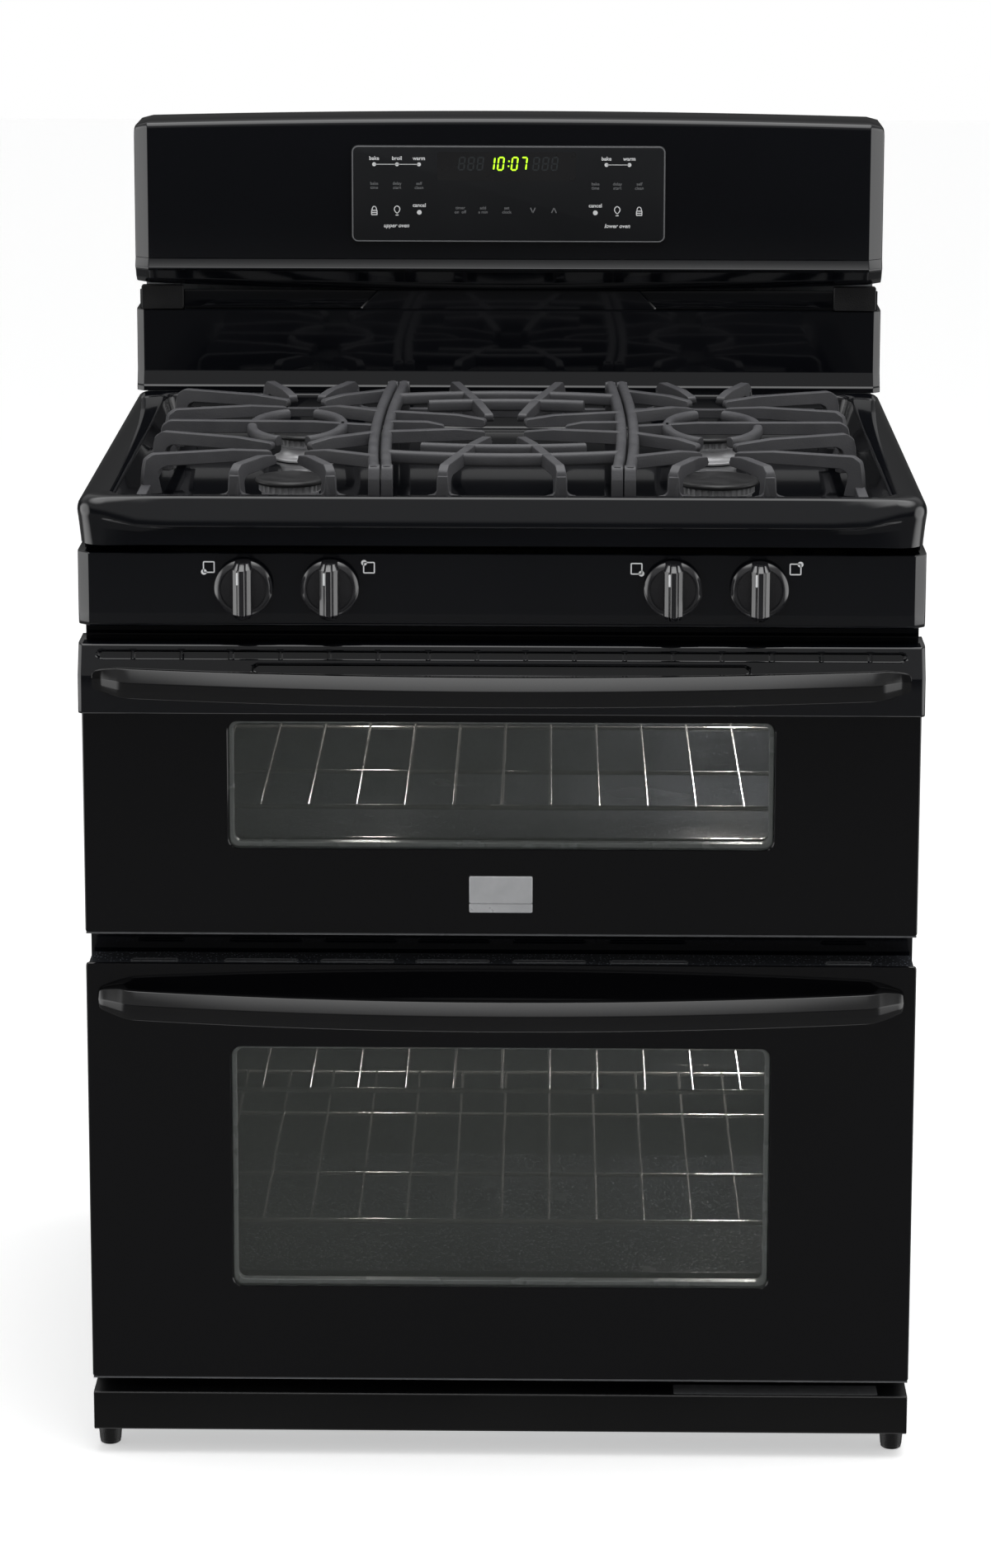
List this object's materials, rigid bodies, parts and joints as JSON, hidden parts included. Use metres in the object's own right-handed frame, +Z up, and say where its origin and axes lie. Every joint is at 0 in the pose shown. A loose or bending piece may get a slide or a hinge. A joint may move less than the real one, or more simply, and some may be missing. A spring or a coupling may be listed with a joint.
{
  "type": "freestanding gas range",
  "caption": "Freestanding kitchen gas range with two stacked ovens, bow-handled drop-down doors, sealed burners under cast-iron grates and a rear control console.",
  "frame": {"origin": "on the floor, under the middle of the overall box, whose front is the front of the door handles", "axes": "+X to the right seen from the front, +Y to the back, +Z up"},
  "size_m": [0.759, 0.72, 1.1888],
  "materials": {
    "porcelain": "gloss",
    "painted_side": "satin",
    "black_glass": "polished",
    "window_pane": "polished",
    "cast_iron": "matte",
    "cap_enamel": "satin",
    "burner_aluminium": "cast",
    "steel": "satin",
    "rack_chrome": "bright",
    "zinc_sheet": "galvanised",
    "brass": "turned",
    "oven_enamel": "gloss speckled",
    "glass_fibre": "matte",
    "gasket_braid": "matte",
    "knob_plastic": "gloss",
    "handle_plastic": "gloss",
    "dark_plastic": "matte"
  },
  "bodies": {
    "range_body": {"side_panel_left": "painted_side", "side_panel_right": "painted_side", "kick_panel": "painted_side", "back_panel": "zinc_sheet", "base_pan": "zinc_sheet", "upstand_cover": "zinc_sheet", "gas_manifold": "zinc_sheet", "leg_front_left": "dark_plastic", "leg_front_right": "dark_plastic", "leg_rear_left": "dark_plastic", "leg_rear_right": "dark_plastic", "vent_louvre": "dark_plastic", "front_frame": "porcelain", "knob_panel": "porcelain", "cooktop_deck": "porcelain", "riser": "porcelain", "console_shell": "porcelain", "oven_liner_lower": "oven_enamel", "oven_liner_upper": "oven_enamel", "insulation_wrap": "glass_fibre", "gasket_lower": "gasket_braid", "gasket_upper": "gasket_braid", "bake_burner": "steel", "broil_burner": "steel", "hinge_arm_upper_left": "steel", "hinge_arm_upper_right": "steel", "hinge_arm_lower_left": "steel", "hinge_arm_lower_right": "steel", "console_glass": "black_glass", "burner_head_fl": "burner_aluminium", "burner_head_fr": "burner_aluminium", "burner_head_rl": "burner_aluminium", "burner_head_rr": "burner_aluminium"},
    "upper_door": {"door_upper_pan": "oven_enamel", "door_upper_glass": "black_glass", "door_upper_inner_pane": "window_pane", "door_upper_trim": "porcelain", "handle_upper": "handle_plastic"},
    "lower_door": {"door_lower_pan": "oven_enamel", "door_lower_glass": "black_glass", "door_lower_inner_pane": "window_pane", "handle_lower": "handle_plastic"},
    "stem_1": {"valve_stem_1": "brass"},
    "dial_1": {"knob_1": "knob_plastic"},
    "stem_2": {"valve_stem_2": "brass"},
    "dial_2": {"knob_2": "knob_plastic"},
    "stem_3": {"valve_stem_3": "brass"},
    "dial_3": {"knob_3": "knob_plastic"},
    "stem_4": {"valve_stem_4": "brass"},
    "dial_4": {"knob_4": "knob_plastic"},
    "cap_fl": {"burner_cap_fl": "cap_enamel"},
    "cap_fr": {"burner_cap_fr": "cap_enamel"},
    "cap_rl": {"burner_cap_rl": "cap_enamel"},
    "cap_rr": {"burner_cap_rr": "cap_enamel"},
    "left_grate": {"grate_left": "cast_iron"},
    "centre_grate": {"grate_centre": "cast_iron"},
    "right_grate": {"grate_right": "cast_iron"},
    "upper_rack": {"rack_upper_oven": "rack_chrome"},
    "lower_rack_bottom": {"rack_lower_bottom": "rack_chrome"},
    "lower_rack_top": {"rack_lower_top": "rack_chrome"}
  },
  "joints": [
    {"name": "upper_door_hinge", "type": "hinge", "parent": "range_body", "child": "upper_door", "pos_m": [0, -0.28, 0.5155], "axis": [1, 0, 0], "range_deg": [0, 88], "stiffness_Nm_per_rad": 4.6, "springref_deg": -10.31},
    {"name": "lower_door_hinge", "type": "hinge", "parent": "range_body", "child": "lower_door", "pos_m": [0, -0.28, 0.088], "axis": [1, 0, 0], "range_deg": [0, 88], "stiffness_Nm_per_rad": 8.8, "springref_deg": -8.02},
    {"name": "knob_1_push", "type": "slide", "parent": "range_body", "child": "stem_1", "axis": [0, 1, 0], "range_m": [0, 0.003], "stiffness_N_per_m": 900, "springref_m": -0.003},
    {"name": "knob_1_turn", "type": "hinge", "parent": "stem_1", "child": "dial_1", "pos_m": [-0.23, -0.302, 0.8275], "axis": [0, -1, 0], "range_deg": [0, 230]},
    {"name": "knob_2_push", "type": "slide", "parent": "range_body", "child": "stem_2", "axis": [0, 1, 0], "range_m": [0, 0.003], "stiffness_N_per_m": 900, "springref_m": -0.003},
    {"name": "knob_2_turn", "type": "hinge", "parent": "stem_2", "child": "dial_2", "pos_m": [-0.153, -0.302, 0.8275], "axis": [0, -1, 0], "range_deg": [0, 230]},
    {"name": "knob_3_push", "type": "slide", "parent": "range_body", "child": "stem_3", "axis": [0, 1, 0], "range_m": [0, 0.003], "stiffness_N_per_m": 900, "springref_m": -0.003},
    {"name": "knob_3_turn", "type": "hinge", "parent": "stem_3", "child": "dial_3", "pos_m": [0.153, -0.302, 0.8275], "axis": [0, -1, 0], "range_deg": [0, 230]},
    {"name": "knob_4_push", "type": "slide", "parent": "range_body", "child": "stem_4", "axis": [0, 1, 0], "range_m": [0, 0.003], "stiffness_N_per_m": 900, "springref_m": -0.003},
    {"name": "knob_4_turn", "type": "hinge", "parent": "stem_4", "child": "dial_4", "pos_m": [0.23, -0.302, 0.8275], "axis": [0, -1, 0], "range_deg": [0, 230]},
    {"name": "cap_fl_lift", "type": "slide", "parent": "range_body", "child": "cap_fl", "axis": [0, 0, 1], "range_m": [0, 0.018]},
    {"name": "cap_fr_lift", "type": "slide", "parent": "range_body", "child": "cap_fr", "axis": [0, 0, 1], "range_m": [0, 0.018]},
    {"name": "cap_rl_lift", "type": "slide", "parent": "range_body", "child": "cap_rl", "axis": [0, 0, 1], "range_m": [0, 0.018]},
    {"name": "cap_rr_lift", "type": "slide", "parent": "range_body", "child": "cap_rr", "axis": [0, 0, 1], "range_m": [0, 0.018]},
    {"name": "left_grate_lift", "type": "slide", "parent": "range_body", "child": "left_grate", "axis": [0, 0, 1], "range_m": [0, 0.12]},
    {"name": "centre_grate_lift", "type": "slide", "parent": "range_body", "child": "centre_grate", "axis": [0, 0, 1], "range_m": [0, 0.12]},
    {"name": "right_grate_lift", "type": "slide", "parent": "range_body", "child": "right_grate", "axis": [0, 0, 1], "range_m": [0, 0.12]},
    {"name": "upper_rack_slide", "type": "slide", "parent": "range_body", "child": "upper_rack", "axis": [0, -1, 0], "range_m": [0, 0.014]},
    {"name": "lower_rack_bottom_slide", "type": "slide", "parent": "range_body", "child": "lower_rack_bottom", "axis": [0, -1, 0], "range_m": [0, 0.014]},
    {"name": "lower_rack_top_slide", "type": "slide", "parent": "range_body", "child": "lower_rack_top", "axis": [0, -1, 0], "range_m": [0, 0.014]}
  ]
}
